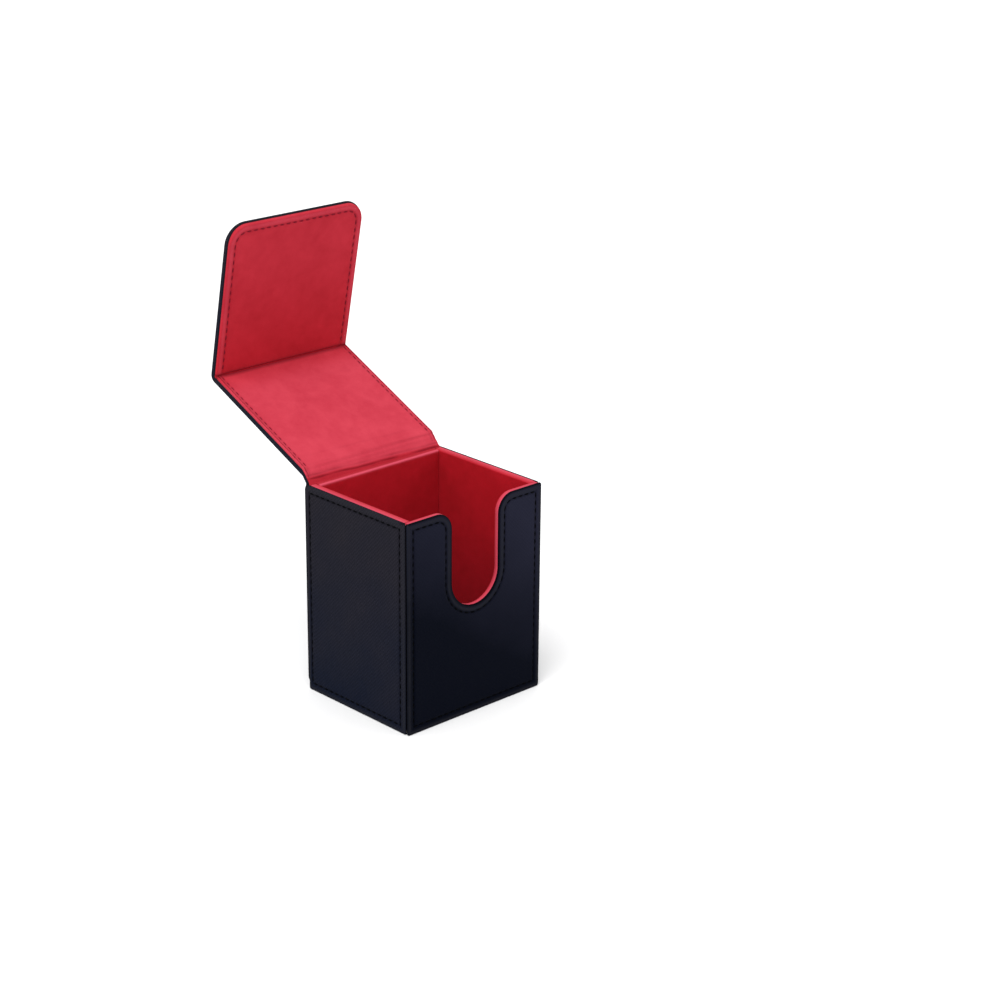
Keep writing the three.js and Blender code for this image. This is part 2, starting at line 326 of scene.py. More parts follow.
def levels(edge, back=0.4, skin=None, lip=None, **face):
    """From the inner face over the edge to the outer one. With skin, it is turned over the edge of
    a board, and otherwise it is a flat sheet."""
    squeeze = lambda d: min(1.0, d / (edge + back))
    if skin:
        rows = [(skin, 0.0, lambda d: min(max(skin, SUEDE), d - 0.03), lip),
                (skin, 0.0, lambda d: d, lip)]
    else:
        rows = [(back + 0.3, 0.0, lambda d: d, lip)]
    rows += [
        (back, 0.0, lambda d: d, lip),
        (0.3 * back, 0.0, lambda d: d - 0.3 * back * squeeze(d), lip),
        (0.0, 0.0, lambda d: d - back * squeeze(d), lip),
    ]
    for inset, drop in face_levels(edge, **face):
        rows.append((inset, inset, lambda d, drop=drop: drop * squeeze(d), drop))
    return rows


def lapped(wall, lip=None, sheet=lambda d: SKIN):
    """A leather sheet laid over a board, its edge rounded. Behind the edge and set back from it, a
    thin wall goes on to the depth of the panel and closes the joint to the next one."""
    inner, outer = wall
    within = lambda drop: lambda d: drop(sheet(d))
    rows = [(inner, 0.0, lambda d: sheet(d) - 0.03, lip), (inner, 0.0, lambda d: d, lip),
            (outer, 0.0, lambda d: d, lip), (outer, 0.0, sheet, lip)]
    face = levels(EDGE, back=0.3, lip=lip)[1:]
    return rows + [(inset, rim, within(drop), rim_drop) for inset, rim, drop, rim_drop in face]


# ---- meshes ------------------------------------------------------------------------------------


def build(name, points, faces, covers=(), edges=(), painted_shades=(), painted_lights=()):
    mesh = bpy.data.meshes.new(name)
    mesh.from_pydata([Vector(p) * MM for p in points], [], faces)
    mesh.validate()
    for label, kind, values in (
        ("cover", "FLOAT_VECTOR", covers),
        ("edge", "FLOAT", edges),
        ("seam", "FLOAT", painted_shades),
        ("pale", "FLOAT", painted_lights),
    ):
        if values:
            attribute = mesh.attributes.new(label, kind, "POINT")
            if kind == "FLOAT":
                attribute.data.foreach_set("value", values)
            else:
                attribute.data.foreach_set("vector", [c for v in values for c in v])
    made = bpy.data.objects.new(name, mesh)
    bpy.context.scene.collection.objects.link(made)
    outward(mesh)
    mesh.shade_smooth()
    mesh.set_sharp_from_angle(angle=math.radians(50))
    return made


def outward(mesh):
    """Turns every face outwards."""
    bm = bmesh.new()
    bm.from_mesh(mesh)
    bmesh.ops.recalc_face_normals(bm, faces=bm.faces)
    bm.to_mesh(mesh)
    bm.free()


def loft(name, chain, place, rows, top=0.0, depth=3.0, columns=24, open_start=False,
         open_end=False, pointed=False, jointed=False, seam=SEAM, ripple=None, shade=None,
         pale=None):
    """A closed skin whose rings follow an outline at growing insets.

    top and depth, the face's height and the wrap's reach, may change along the panel. A pointed
    outline ends on the middle line; a jointed one has painted shade in the gap behind its edge
    and on its lip under a rim; seam is its stitch line's inset, if it has one, with painted shade
    along it. ripple(x, s) lowers the field, shade(x, s) says how much painted shade darkens it,
    and pale(x, s, n) how much painted light makes its suede paler.
    """
    height = top if callable(top) else lambda s: top
    reach = depth if callable(depth) else lambda s: depth
    points, covers, edges, painted_shades, faces, flats = [], [], [], [], [], []

    def vertex(x, s, n, inset, is_rim=False):
        flats.append((x, s, n))
        sunk = ripple(x, s) if ripple else 0.0
        # painted shade in the gap behind a jointed edge
        gap_shade = smooth((height(s) - n - JOINT_SHADE_DEPTH) / JOINT_SHADE_FADE) if jointed else 0.0
        n -= sunk
        points.append(place(x, s, n))
        covers.append((x, s, n))
        # edge: paler where the leather is rubbed and where a painted highlight catches its bead
        if is_rim:
            bead = (inset - RIM_BEAD) / RIM_BEAD_WIDTH
        else:
            bead = (inset - BEAD) / BEAD_WIDTH
        edges.append(math.exp(-(bead**2)) * (1 - gap_shade))
        # painted shade on the leather's lip under a rim's turned suede
        under = math.exp(-((inset / 0.7) ** 2)) if is_rim and jointed else 0.0
        sewn = SEWN_SHADE * math.exp(-(((inset - seam) / SEWN_WIDTH) ** 2)) if seam else 0.0
        painted_shades.append(max(sewn, gap_shade, under, shade(x, s) if shade else 0.0))
        return len(points) - 1

    rings = []
    for inset, rim_inset, drop, rim_drop in rows:
        right, left = [], []
        for x, s, is_rim in chain(inset, rim_inset):
            n = height(s) - (rim_drop if is_rim else drop(reach(s)))
            shown = rim_inset if is_rim else inset
            right.append(vertex(x, s, n, shown, is_rim))
            left.append(right[-1] if abs(x) < 1e-6 else vertex(-x, s, n, shown, is_rim))
        rings.append((left, right, inset))

    def row(left, right, inset):
        x, s, n = flats[right]
        between = [vertex(x * (2 * k / columns - 1), s, n, inset) for k in range(1, columns)]
        return [left, *between, right]

    ends = []
    for left, right, inset in rings:
        start = None if open_start else row(left[0], right[0], inset)
        end = None if open_end or pointed else row(left[-1], right[-1], inset)
        ends.append((start, end))
    for k in range(len(rings) - 1):
        (l0, r0, _), (l1, r1, _) = rings[k], rings[k + 1]
        for i in range(len(r0) - 1):
            faces.append((r0[i], r0[i + 1], r1[i + 1], r1[i]))
            faces.append((l0[i + 1], l0[i], l1[i], l1[i + 1]))
        for a, b in zip(ends[k], ends[k + 1]):
            if a:
                faces += [(a[i], a[i + 1], b[i + 1], b[i]) for i in range(columns)]
    boundary = []
    for which, step in ((0, 1), (-1, -1)):
        left, right, inset = rings[which]
        if pointed:
            loop = ends[which][0] + right[1:-1] + [right[-1]] + left[-2:0:-1]
            faces.append(tuple(loop[::step]))
            continue
        grid = [row(left[i], right[i], inset) for i in range(1, len(left) - 1)]
        first = ends[which][0] or row(left[0], right[0], inset)
        last = ends[which][1] or row(left[-1], right[-1], inset)
        grid = [first, *grid, last]
        for a, b in zip(grid, grid[1:]):
            faces += [(a[i], a[i + 1], b[i + 1], b[i]) for i in range(columns)]
        boundary.append((first, last))
    for at, is_open in ((0, open_start), (-1, open_end)):
        if is_open:
            inner, outer = boundary[0][at], boundary[1][at]
            rights = [right[at] for _, right, _ in rings[1:-1]]
            lefts = [left[at] for left, _, _ in rings[1:-1]]
            faces.append(tuple(inner + rights + outer[::-1] + lefts[::-1]))
    painted_lights = [pale(*c) for c in covers] if pale else ()
    return build(name, points, faces, covers, edges, painted_shades, painted_lights)


# ---- stitches ----------------------------------------------------------------------------------


def seam_lines(chain, place, kind, top=0.0, span=None, groove=GROOVE, inset=SEAM):
    """The stitch groove's floor as runs of (point, outward). kind is ring, tongue or strap."""
    height = top if callable(top) else lambda s: top
    right = [(x, s) for x, s, _ in chain(inset, inset)]
    left = [(-x, s) for x, s in reversed(right)]
    outlines = {"ring": [right + left + right[:1]], "tongue": [right + left],
                "strap": [right, left]}[kind]
    found = []
    for outline in outlines:
        line = []
        for (x0, s0), (x1, s1) in zip(outline, outline[1:]):
            pieces = max(1, round(math.hypot(x1 - x0, s1 - s0) / 0.6))
            line += [(x0 + (x1 - x0) * k / pieces, s0 + (s1 - s0) * k / pieces)
                     for k in range(pieces)]
        line.append(outline[-1])
        run = []
        for x, s in line:
            if span and not span[0] <= s <= span[1]:
                continue
            n = height(s) - groove
            run.append((place(x, s, n), place(x, s, n + 1) - place(x, s, n)))
        found.append([p for k, p in enumerate(run)
                      if not k or (p[0] - run[k - 1][0]).length > 1e-4])
    return found


def stitches(name, lines, thread=THREAD):
    """Short lengths of thread that rise out of a seam and dive back, all of a panel's in one."""
    points, faces, covers = [], [], []
    sides, steps = 7, 8
    for run in lines:
        lay_stitches(run, points, faces, covers, sides, steps, thread)
    return build(name, points, faces, covers)


def lay_stitches(run, points, faces, covers, sides, steps, thread):
    reach = [0.0]
    for (a, _), (b, _) in zip(run, run[1:]):
        reach.append(reach[-1] + (b - a).length)
    count = max(1, round(reach[-1] / PITCH))
    pitch = reach[-1] / count

    def at(u):
        u = min(max(u, 0.0), reach[-1])
        k = next((i for i in range(1, len(reach)) if reach[i] >= u), len(reach) - 1)
        f = (u - reach[k - 1]) / (reach[k] - reach[k - 1])
        return run[k - 1][0].lerp(run[k][0], f), run[k - 1][1].lerp(run[k][1], f).normalized()

    for number in range(count):
        middle = (number + 0.5) * pitch
        sway = 0.07 * noise.noise(Vector((middle * 1.7, reach[-1], 0.3)))
        first = len(points)
        for j in range(steps + 1):
            t = j / steps
            u = middle + (t - 0.5) * STITCH
            point, up = at(u)
            along = (at(u + 0.2)[0] - at(u - 0.2)[0]).normalized()
            side = along.cross(up).normalized()
            arch = math.sin(math.pi * t)
            lift = thread * (1.25 * arch**0.6 - 0.85)
            girth = thread * (0.55 + 0.45 * arch**0.5)
            slant = sway + 0.10 * (t - 0.5)
            for k in range(sides):
                a = 2 * math.pi * k / sides
                points.append(point + up * (lift + girth * math.sin(a))
                              + side * (slant + girth * 1.1 * math.cos(a)))
                covers.append((u, k / sides, number))
        for j in range(steps):
            for k in range(sides):
                a, b = first + j * sides + k, first + j * sides + (k + 1) % sides
                faces.append((a, b, b + sides, a + sides))
        faces.append(tuple(range(first, first + sides)))
        last = first + steps * sides
        faces.append(tuple(range(last + sides - 1, last - 1, -1)))


# ---- materials ---------------------------------------------------------------------------------


class Shader:
    """A material under construction: nodes are made and joined in one call."""

    def __init__(self, name):
        self.material = bpy.data.materials.new(name)
        self.material.use_nodes = True
        self.tree = self.material.node_tree
        self.tree.nodes.clear()
        self.surface = self.node("ShaderNodeBsdfPrincipled")
        out = self.node("ShaderNodeOutputMaterial")
        self.link(self.surface.outputs["BSDF"], out.inputs["Surface"])

    def node(self, kind, **inputs):
        made = self.tree.nodes.new(kind)
        for key, value in inputs.items():
            if hasattr(made, key) and not isinstance(value, bpy.types.NodeSocket):
                setattr(made, key, value)
            else:
                self.feed(made, key.replace("_", " "), value)
        return made

    def feed(self, node, key, value):
        by_number = key[0] == "i" and key[1:].isdigit()
        socket = node.inputs[int(key[1:]) if by_number else key]
        if isinstance(value, bpy.types.NodeSocket):
            self.link(value, socket)
        else:
            socket.default_value = value

    def link(self, a, b):
        self.tree.links.new(a, b)

    def set(self, **inputs):
        for key, value in inputs.items():
            self.feed(self.surface, key.replace("_", " "), value)

    def attribute(self, name, output="Vector"):
        return self.node("ShaderNodeAttribute", attribute_name=name).outputs[output]

    def object_place(self):
        return self.node("ShaderNodeTexCoord").outputs["Object"]

    def math(self, operation, a, b=0.0, c=0.0):
        return self.node("ShaderNodeMath", operation=operation, i0=a, i1=b, i2=c).outputs[0]

    def vector(self, operation, a, b=(0, 0, 0)):
        made = self.node("ShaderNodeVectorMath", operation=operation, i0=a, i1=b)
        return made.outputs["Value" if operation == "DOT_PRODUCT" else "Vector"]

    def noise(self, vector, scale, detail=2.0, roughness=0.5, distortion=0.0):
        made = self.node("ShaderNodeTexNoise", Vector=vector, Scale=scale, Detail=detail,
                         Roughness=roughness, Distortion=distortion)
        return made.outputs["Fac"]

    def ramp(self, value, low, high, to_low=0.0, to_high=1.0):
        made = self.node("ShaderNodeMapRange", Value=value, From_Min=low, From_Max=high,
                         To_Min=to_low, To_Max=to_high)
        return made.outputs["Result"]

    def mix(self, factor, a, b, blend="MIX"):
        made = self.node("ShaderNodeMix", data_type="RGBA", blend_type=blend)
        for index, value in ((0, factor), (6, a), (7, b)):
            if isinstance(value, bpy.types.NodeSocket):
                self.link(value, made.inputs[index])
            else:
                plain = (*value, 1.0) if isinstance(value, tuple) else value
                made.inputs[index].default_value = plain
        return made.outputs[2]

    def bump(self, height, depth, strength=1.0, under=None):
        made = self.node("ShaderNodeBump", Height=height, Distance=depth * MM, Strength=strength)
        if under is not None:
            self.link(under, made.inputs["Normal"])
        return made.outputs["Normal"]


def leather(name, low, high, specular, lean, start, cloud, hatch=1.0, gloss=0.0):
    """Black coated leather with a fine cross-hatched grain, paler where its edges are rubbed and
    a painted highlight catches them, darker under painted shade down in its seams and joints.
    Its tone goes from low to high along lean, a painted gradient of light, with clouds."""
    m = Shader(name)
    place = m.attribute("cover")
    wander = m.noise(place, 0.9, 2.0)
    first = m.vector("DOT_PRODUCT", place, (1.0, 1.0, 0.7))
    second = m.vector("DOT_PRODUCT", place, (1.0, -1.0, 0.7))
    rate = 2 * math.pi / (HATCH_PITCH * math.sqrt(2))
    bent = m.math("MULTIPLY", wander, 5.0)
    lines = [m.math("SINE", m.math("ADD", m.math("MULTIPLY", way, rate), bent))
             for way in (first, second)]
    hatching = m.math("MULTIPLY", m.math("ADD", *lines), 0.25)
    pebbles = m.node("ShaderNodeTexVoronoi", Vector=place, Scale=2.6,
                     feature="SMOOTH_F1").outputs[0]
    fine = m.noise(place, 7.0, 3.0, 0.6)
    clouds = m.ramp(m.noise(place, 0.035, 2.0), 0.3, 0.7, start - cloud, start + cloud)
    # Painted light: the lean adds a straight gradient across the panel on top of the random clouds
    tone = m.math("ADD", clouds, m.vector("DOT_PRODUCT", place, lean))
    # rubbed edges: real wear plus a painted highlight where the bead catches light
    rubbed_and_lit = m.math("MULTIPLY", m.attribute("edge", "Fac"),
                    m.ramp(m.noise(place, 0.12, 3.0, 0.6), 0.3, 0.7, 0.55, 1.0))
    grain = m.math("ADD", m.math("MULTIPLY", hatching, hatch),
                   m.math("ADD", m.math("MULTIPLY", pebbles, 0.4), m.math("MULTIPLY", fine, 0.4)))
    base = m.mix(m.ramp(tone, 0.0, 1.0), low, high)
    base = m.mix(m.ramp(grain, 0.15, 0.85, 0.0, 0.35 + 0.25 * hatch), base,
                 m.mix(1.0, base, (2.6, 2.5, 2.4), "MULTIPLY"))
    base = m.mix(m.math("MULTIPLY", rubbed_and_lit, 0.85), base, WORN_AND_LIT)
    # painted shade down in seams, joint gaps and under the rim lip
    base = m.mix(m.math("MULTIPLY", m.attribute("seam", "Fac"), 0.93), base,
                 tuple(c * 0.2 for c in low))
    rough = m.ramp(grain, 0.1, 0.9, 0.60 - gloss, 0.52 - gloss)
    slow = m.bump(m.noise(place, 0.16, 2.0), 0.10, 0.5)
    m.set(Base_Color=base, Roughness=rough, Specular_IOR_Level=specular,
          Normal=m.bump(grain, 0.055, 0.9, slow))
    return m.material


def suede(name):
    """Crimson microfibre suede: clouded nap, short fibres, paler where its "pale" value paints
    light on it (a lit copy on lit faces, painted highlights on rims, a shaded copy elsewhere),
    darker under painted shade where it is sewn down, folded, creased or deep in the well."""
    m = Shader(name)
    place = m.attribute("cover")
    pale = m.attribute("pale", "Fac")
    cloud = m.noise(place, 0.055, 4.0, 0.55, 0.4)
    streak = m.noise(place, 0.22, 3.0, 0.6, 0.2)
    fibre = m.noise(place, 5.5, 4.0, 0.7)
    fleck = m.noise(place, 1.6, 3.0, 0.6)
    nap = m.math("ADD", m.math("MULTIPLY", cloud, 0.65), m.math("MULTIPLY", streak, 0.35))
    shade = m.ramp(nap, 0.36, 0.64)
    shaded = m.mix(shade, (0.31, 0.0013, 0.0052), (0.39, 0.0030, 0.0100))
    lit = m.mix(shade, (0.40, 0.023, 0.042), (0.47, 0.037, 0.060))
    # Painted light: the lit copy where pale is high, the shaded copy where it is low; past 1, pale
    # paints a pink rim highlight
    base = m.mix(pale, shaded, lit)
    base = m.mix(m.math("SUBTRACT", pale, 1.0), base, (0.51, 0.064, 0.108))
    base = m.mix(m.ramp(fibre, 0.3, 0.75, 0.0, 0.20), base,
                 m.mix(pale, (0.44, 0.006, 0.015), (0.54, 0.060, 0.092)))
    base = m.mix(m.ramp(fleck, 0.52, 0.8, 0.0, 0.18), base,
                 m.mix(pale, (0.26, 0.001, 0.004), (0.33, 0.012, 0.028)))
    # painted shade in seams, folds, creases and deep in the well
    base = m.mix(m.math("MULTIPLY", m.attribute("seam", "Fac"), 0.6), base, (0.13, 0.0012, 0.006))
    slow = m.bump(cloud, 0.35, 0.5)
    m.set(Base_Color=base, Roughness=m.ramp(fibre, 0.3, 0.7, 0.86, 0.97), Specular_IOR_Level=0.08,
          Sheen_Weight=0.06, Sheen_Roughness=0.5, Sheen_Tint=(1.0, 0.55, 0.62, 1.0),
          Normal=m.bump(m.math("ADD", fibre, m.math("MULTIPLY", fleck, 0.8)), 0.10, 0.6, slow))
    return m.material


def thread(name, colour, specular):
    """Twisted sewing thread."""
    m = Shader(name)
    place = m.attribute("cover")
    along = m.math("MULTIPLY", m.vector("DOT_PRODUCT", place, (1, 0, 0)), 16.0)
    around = m.math("MULTIPLY", m.vector("DOT_PRODUCT", place, (0, 1, 0)), 6.283)
    twist = m.math("SINE", m.math("ADD", along, around))
    lint = m.noise(m.object_place(), 2400.0, 2.0)
    pale = tuple(c * 1.8 for c in colour)
    m.set(Base_Color=m.mix(m.ramp(twist, -1.0, 1.0), colour, pale),
          Roughness=m.ramp(lint, 0.3, 0.7, 0.5, 0.75), Specular_IOR_Level=specular,
          Normal=m.bump(twist, 0.06, 0.8))
    return m.material


def grey_board(name):
    """Pressed grey board: flecked pulp."""
    m = Shader(name)
    place = m.object_place()
    fleck = m.noise(place, 900.0, 4.0, 0.7)
    pulp = m.noise(place, 120.0, 3.0)
    base = m.mix(m.ramp(pulp, 0.3, 0.7), (0.26, 0.24, 0.20), (0.34, 0.31, 0.27))
    base = m.mix(m.ramp(fleck, 0.55, 0.75, 0.0, 0.5), base, (0.14, 0.13, 0.11))
    m.set(Base_Color=base, Roughness=m.ramp(fleck, 0.3, 0.7, 0.8, 0.95),
          Normal=m.bump(fleck, 0.05, 0.5))
    return m.material


def plated(name, colour, low, high):
    """Plated steel, faintly brushed."""
    m = Shader(name)
    brushed = m.noise(m.vector("MULTIPLY", m.object_place(), (1.0, 8.0, 8.0)), 900.0, 3.0, 0.6)
    spots = m.noise(m.object_place(), 300.0, 3.0)
    base = m.mix(m.ramp(spots, 0.35, 0.7, 0.0, 0.4), colour, tuple(c * 0.7 for c in colour))
    m.set(Base_Color=base, Metallic=1.0, Roughness=m.ramp(brushed, 0.3, 0.7, low, high),
          Normal=m.bump(brushed, 0.01, 0.3))
    return m.material


def studio_floor(name):
    """Matt pale paper."""
    m = Shader(name)
    place = m.object_place()
    tone = m.ramp(m.noise(place, 3.0, 3.0), 0.3, 0.7)
    m.set(Base_Color=m.mix(tone, (0.805, 0.805, 0.808), (0.825, 0.825, 0.828)),
          Roughness=m.ramp(m.noise(place, 40.0, 2.0), 0.3, 0.7, 0.85, 0.95), Specular_IOR_Level=0.2)
    return m.material


# The pale of rubbed edges, which also stands in for light caught by the bead: partly wear, partly
# painted highlight
WORN_AND_LIT = (0.0125, 0.0128, 0.0170)
# Each leather's lean paints light on it: the smooth one lighter and bluer towards the top right of
# the front, a painted reflection; the cross-grained one lighter along its panels, painted shade
# towards the foot of the sides
HATCHED = leather("leather_cross_grain", (0.0020, 0.0035, 0.0098), (0.0082, 0.0075, 0.0112), 0.03,
                  lean=(0.0, 0.009, 0.0), start=0.1, cloud=0.2)
SMOOTH = leather("leather_smooth_grain", (0.0007, 0.0013, 0.0042), (0.0098, 0.0104, 0.0205), 0.02,
                 lean=(0.0086, 0.0143, 0.0), start=-0.47, cloud=0.08, hatch=0.3, gloss=0.04)
CRIMSON = suede("crimson_suede")
BLACK_THREAD = thread("black_thread", (0.0005, 0.0005, 0.0009), 0.02)
SUNK_THREAD = thread("sunk_thread", (0.12, 0.004, 0.012), 0.05)
BOARD = grey_board("grey_board")


def finish_piece(piece, material, body=None, replaces=()):
    piece.data.materials.append(material)
    if body:
        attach(piece, body)
    if replaces:
        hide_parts(*replaces)
    return piece


# ---- box body ----------------------------------------------------------------------------------


def front_wall():
    """The notched front: leather over the board, suede inside and over the rim, a stitched seam."""
    place = flat((0, FRONT, 0), (1, 0, 0), (0, 0, 1), (0, -1, 0))
    chain = notched(HALF, 0.0, RIM)
    thick = FRONT_INSIDE - FRONT
    skin = loft("front_panel_leather", chain, place, lapped((WALL, WALL - 0.12), RIM_LIP),
                depth=JOINT - 0.03, pointed=True, jointed=True)
    finish_piece(skin, SMOOTH, "box", ["front_wall_leather"])

    inside = flat((0, FRONT_INSIDE, 0), (1, 0, 0), (0, 0, 1), (0, 1, 0))
    lining_chain = notched(HALF - SKIN - GAP, SKIN + GAP, RIM)
    reach = thick - RIM_LIP - 0.02
    rows = [(inset, inset, drop, drop(reach))
            for inset, _, drop, _ in levels(0.7, back=0.3, skin=SUEDE, seam=None)]
    # pale paints a highlight where the suede turns over the rim
    lining = loft("front_panel_lining", lining_chain, inside, rows, depth=reach, pointed=True,
                  seam=None,
                  pale=lambda x, s, n: 0.8 * smooth(-n / 0.4) + 0.8 * smooth((-n - 0.6) / 0.8))
    finish_piece(lining, CRIMSON, "box", ["front_wall_lining"])

    sewn = stitches("front_panel_stitching", seam_lines(chain, place, "ring"))
    finish_piece(sewn, BLACK_THREAD, "box")


def side_wall(name, side):
    """A side of the box. side is 1 on the right. Its leather runs over the front and back boards."""
    front, rear = FRONT + JOINT + GAP, REAR - SKIN - 0.08
    middle, half = (front + rear) / 2, (rear - front) / 2
    sheet = flat((side * HALF, middle, 0), (0, 1, 0), (0, 0, 1), (side, 0, 0))
    shift = lambda x: SEAM_SHIFT * math.exp(-(((x - half + SEAM) / 2.0) ** 2))
    place = lambda x, s, n: sheet(x + shift(x), s, n)
    chain = oblong(half, 0.0, RIM, 1.0, rim=True)
    skin = loft(f"{name}_panel_leather", chain, place, levels(EDGE, 0.3, lip=RIM_LIP), depth=SKIN,
                jointed=True)
    finish_piece(skin, HATCHED, "box", [f"{name}_wall_leather"])
    sewn = stitches(f"{name}_panel_stitching", seam_lines(chain, place, "ring"))
    finish_piece(sewn, BLACK_THREAD, "box")

    front, rear = FRONT_INSIDE + GAP, COVER_FRONT - GAP
    middle, half = (front + rear) / 2, (rear - front) / 2
    outer = HALF - RIM_LIP - 0.02
    start = 1.6  # the lining starts this far below the rim, behind the leather
    over_rim, lit = 5.6, 3.6  # where it has passed the rim, and where its painted rim highlight ends
    run = Run([(outer, RIM - start), (outer, RIM), (WELL_HALF, RIM), (WELL_HALF, WELL_FLOOR)],
              [0.5, 0.8])
    # pale paints a highlight along the rim, depth_shade paints shade deeper in the well
    lining = loft(f"{name}_panel_lining", strap(half, run.marks(6.0)),
                  over(run, -1, "xz", middle, side), levels(0.25, 0.25, seam=None),
                  depth=SUEDE, columns=30, open_start=True, open_end=True,
                  seam=None, shade=lambda x, s: depth_shade(s - over_rim - 0.4),
                  pale=lambda x, s, n: 0.5 * smooth(over_rim - s) + smooth((lit - s) / 1.2))
    finish_piece(lining, CRIMSON, "box", [f"{name}_wall_lining"])


def back_cover():
    """The leather of the back cover, carried on over the rear crease to the middle of the strip."""
    run = Run([STRIP_MIDDLE, REAR_CREASE, (REAR, COVER_FOOT)], [1.2])
    place = over(run, 1)
    strip = STRIP_RUN / 2
    narrow = lambda s: LID_HALF + (HALF - LID_HALF) * smooth((s - strip) / 2.5)
    cover = REAR - COVER_FRONT
    reach = lambda s: STRIP_SIDE + (cover - STRIP_SIDE) * smooth((s - strip - 0.3) / 0.8)
    sheet = lambda d: SKIN + (STRIP_SIDE - SKIN) * smooth((cover - 0.4 - d) / 1.0)
    marks = [s for s in run.marks(0.4) if s < strip + 4] + spaced(strip + 4, run.length - 10, 14)
    chain = tongue(narrow, run.length, COVER_CORNER, marks)
    skin = loft("back_cover_skin", chain, place, lapped((WALL, WALL - 0.025), sheet=sheet),
                depth=reach, open_start=True)
    finish_piece(skin, HATCHED, replaces=["back_cover_leather"])
    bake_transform(skin)
    seam = seam_lines(chain, place, "tongue", span=(strip + 3.0, run.length))
    sewn = stitches("back_cover_stitching", seam)
    finish_piece(sewn, BLACK_THREAD, "box")


def back_lining():
    """Suede up the well's back wall, over its rim and on to the middle of the strip."""
    lean = suede_side(STRIP_ANGLE) * STRIP_FACE
    way = heading(STRIP_ANGLE)
    first = STRIP_MIDDLE + lean
    fold = first - way * ((first.y - RIM) / way.y)
    run = Run([first, fold, (WELL_REAR, RIM), (WELL_REAR, WELL_FLOOR)], [1.0, 0.8])
    marks = [s for s in run.marks(0.35) if s < 9] + spaced(9, run.length, 14)
    step = (first - fold).length + (fold.x - COVER_FRONT)
    marks = sorted(marks + [step - 0.02, step + 0.02])
    bend = (first - fold).length
    strip = STRIP_RUN / 2
    rim = bend + (fold.x - WELL_REAR)
    wider = SUEDE_INSET - 0.15
    narrow = lambda s: LID_HALF - SUEDE_INSET + wider * smooth((s - bend + 1.2) / 0.8)
    half = lambda s: narrow(s) if s < step else WELL_HALF - GAP
    # hinge_shade and depth_shade paint shade on the strip and deep in the well; pale paints light on
    # the strip and a highlight on the rim's inner edge
    lining = loft("back_wall_suede", strap(half, marks), over(run, -1),
                  levels(0.25, 0.25, seam=None), depth=STRIP, columns=60,
                  open_start=True, open_end=True, seam=None,
                  ripple=lambda x, s: 0.1 * fold_marks(x, -strip - s),
                  shade=lambda x, s: hinge_shade(x, -strip - s) * smooth((rim - 1.0 - s) / 1.0)
                  + depth_shade(s - rim),
                  pale=lambda x, s, n: hinge_lit(x, -strip - s)
                  + 1.45 * math.exp(-(((s - rim + 0.5) / 0.8) ** 2))
                  - 0.35 * smooth((s - rim) / 0.8))
    finish_piece(lining, CRIMSON, replaces=["back_wall_lining"])
    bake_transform(lining)


def depth_shade(down):
    """Painted shade: the well's suede is darker towards its foot, deeper in the box."""
    return 0.45 * smooth((down - 15.0) / 55.0)


def smooth(t):
    t = min(max(t, 0.0), 1.0)
    return t * t * (3 - 2 * t)


def spaced(first, last, count):
    return [first + (last - first) * k / (count - 1) for k in range(count)]


def main_fold(x):
    """Where the hinge's deepest fold lies, on from the lid crease: on the right it drifts down to
    the rim."""
    across = (x + LID_HALF) / (2 * LID_HALF)
    return -2.8 - 2.2 * across + 0.55 * noise.noise(Vector((x * 0.07, 2.0, 1.1)))


def fold_marks(x, d):
    """Uneven creases that run across the suede where it is folded: how dark the painted shade in
    them is, d on from the lid crease."""
    deepest, total = main_fold(x), 0.0
    for k, (off, width, dark) in enumerate(FOLDS):
        drift = 0.35 * noise.noise(Vector((x * 0.11, 7.3 * k, 3.1)))
        fade = min(1.0, max(0.0, 0.6 + 1.2 * noise.noise(Vector((x * 0.08, 3.7 * k, 5.9)))))
        total += dark * fade * math.exp(-(((d - deepest - off - drift) / width) ** 2))
    return min(total, DARKEST_FOLD)


def hinge_lit(x, d):
    """Painted light: the suede is paler from the deepest fold on, where it lies like the lid."""
    return 0.35 + 0.65 * smooth((d - main_fold(x)) / 1.5)


def hinge_shade(x, d):
    """Painted shade on the hinge's suede: in its folds, and between the deepest one and the rim."""
    below = 0.5 * (1 - smooth((d - main_fold(x) + 0.5) / 1.0))
    return max(below, fold_marks(x, d))


def base():
    """The leather under the box and the suede on the floor of the well."""
    front, rear = FRONT + JOINT + GAP, REAR - SKIN - 0.1
    middle, half_depth = (front + rear) / 2, (rear - front) / 2
    below = flat((0, middle, 0), (1, 0, 0), (0, 1, 0), (0, 0, -1))
    skin = loft("base_skin", oblong(HALF - SKIN - 0.06, -half_depth, half_depth, 0.6), below,
                levels(0.4, 0.3, seam=None), depth=SKIN, seam=None)
    finish_piece(skin, SMOOTH, "box", ["base_leather"])
    front, rear = FRONT_INSIDE + GAP, COVER_FRONT - GAP
    middle, half_depth = (front + rear) / 2, (rear - front) / 2
    half = WELL_HALF - GAP
    above = flat((0, middle, WELL_FLOOR), (1, 0, 0), (0, 1, 0), (0, 0, 1))
    lining = loft("base_suede", oblong(half, -half_depth, half_depth, 0.6), above,
                  levels(0.35, 0.3, seam=None), depth=SUEDE, seam=None)
    finish_piece(lining, CRIMSON, "box", ["base_lining"])


# ---- lid and flap ------------------------------------------------------------------------------


def soft_levels(seam):
    """Suede laid on the lid or the flap, its edge turned under."""
    return levels(0.6, 0.2, skin=SUEDE, seam=seam, groove=SOFT_GROOVE, sink=0.2)


